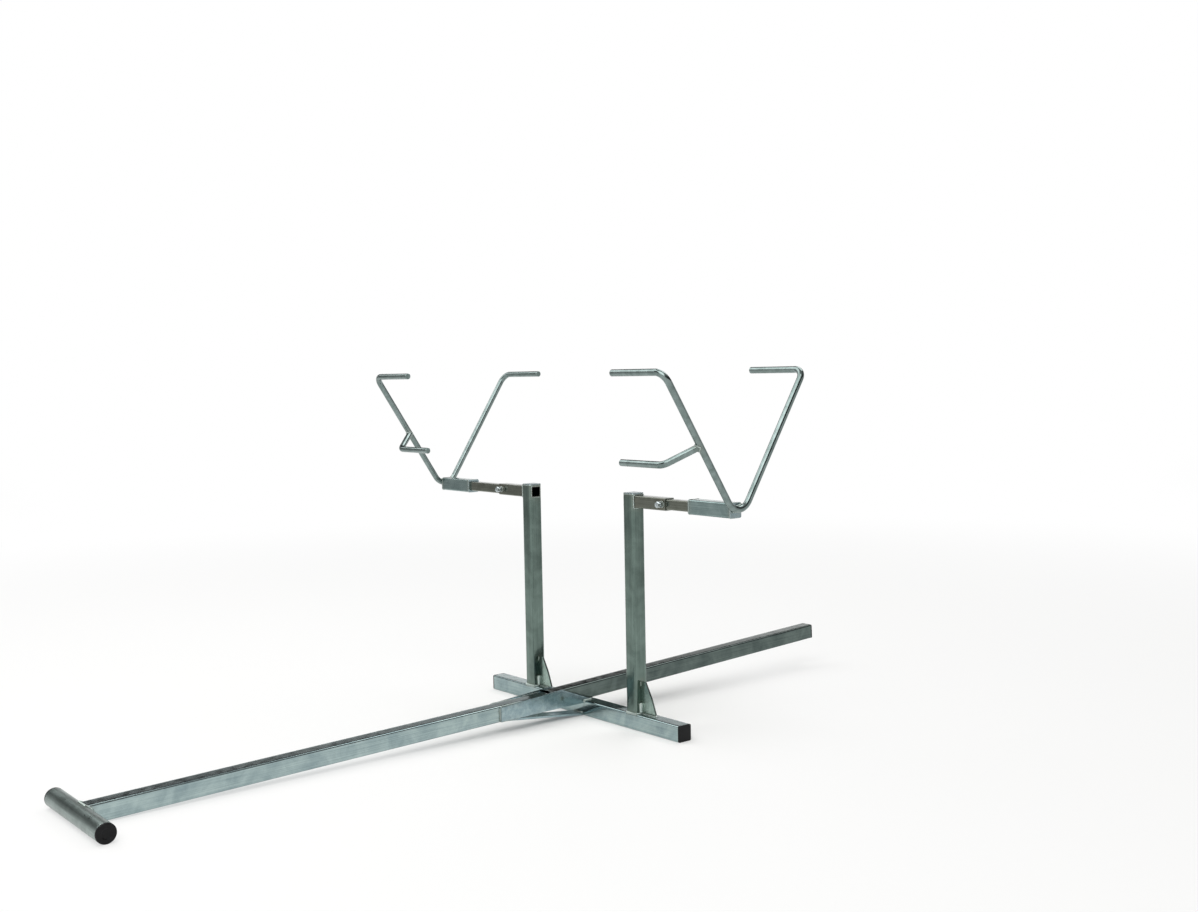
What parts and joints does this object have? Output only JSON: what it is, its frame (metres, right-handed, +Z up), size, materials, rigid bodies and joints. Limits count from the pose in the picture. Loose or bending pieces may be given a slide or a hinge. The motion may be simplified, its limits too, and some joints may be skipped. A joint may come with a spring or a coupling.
{
  "type": "lawn mower lift",
  "caption": "Lever lift for the front wheels of a ride-on mower: floor frame with long lever, hinged support leg and two sliding wheel cradles.",
  "frame": {"origin": "on the floor, under the middle of the cross tube", "axes": "+Z up, +Y back towards the machine, along the support leg, +X to the right as seen from the lever"},
  "size_m": [1.219, 2.1781, 0.889],
  "materials": {
    "zinc_tube": "bright zinc plating, satin",
    "zinc_rod": "bright zinc plating, satin",
    "zinc_plate": "bright zinc plating, satin",
    "fastener": "bright zinc plating",
    "black_plastic": "moulded, satin"
  },
  "bodies": {
    "frame": {"cross_tube": "zinc_tube", "cross_tube_cap_right": "black_plastic", "cross_tube_cap_left": "black_plastic", "lever_tube": "zinc_tube", "t_bar": "zinc_tube", "t_bar_cap_right": "black_plastic", "t_bar_cap_left": "black_plastic", "hinge_cheek_right": "zinc_plate", "hinge_cheek_left": "zinc_plate", "lever_brace": "zinc_plate", "hinge_pin": "zinc_rod", "upright_right": "zinc_tube", "upright_left": "zinc_tube", "upright_top_right": "zinc_plate", "upright_top_left": "zinc_plate", "foot_gusset_right": "zinc_plate", "foot_gusset_left": "zinc_plate", "arm_socket_right": "zinc_tube", "arm_socket_left": "zinc_tube", "clamp_nut_right": "fastener", "clamp_nut_left": "fastener"},
    "support_leg": {"support_leg": "zinc_tube", "support_leg_bush": "zinc_plate", "support_leg_cap": "black_plastic"},
    "cradle_right": {"slide_bar_right": "zinc_tube", "cradle_sleeve_right": "zinc_tube", "sleeve_outer_plate_right": "zinc_plate", "sleeve_inner_plate_right": "zinc_plate", "cradle_rod_right": "zinc_rod", "stop_rod_right": "zinc_rod"},
    "cradle_left": {"slide_bar_left": "zinc_tube", "cradle_sleeve_left": "zinc_tube", "sleeve_outer_plate_left": "zinc_plate", "sleeve_inner_plate_left": "zinc_plate", "cradle_rod_left": "zinc_rod", "stop_rod_left": "zinc_rod"},
    "clamp_screw_right": {"clamp_screw_right": "fastener"},
    "clamp_screw_left": {"clamp_screw_left": "fastener"}
  },
  "joints": [
    {"name": "leg_fold", "type": "hinge", "parent": "frame", "child": "support_leg", "pos_m": [0, -0.0918, 0.05718], "axis": [1, 0, 0], "range_deg": [0, 90]},
    {"name": "cradle_slide_right", "type": "slide", "parent": "frame", "child": "cradle_right", "axis": [1, 0, 0], "range_m": [-0.081, 0.066]},
    {"name": "cradle_slide_left", "type": "slide", "parent": "frame", "child": "cradle_left", "axis": [-1, 0, 0], "range_m": [-0.144, 0.003]},
    {"name": "clamp_turn_right", "type": "hinge", "parent": "frame", "child": "clamp_screw_right", "pos_m": [0.328, 0, 0.566], "axis": [0, -1, 0], "range_deg": [0, 720]},
    {"name": "clamp_turn_left", "type": "hinge", "parent": "frame", "child": "clamp_screw_left", "pos_m": [-0.328, 0, 0.566], "axis": [0, -1, 0], "range_deg": [0, 720]}
  ]
}
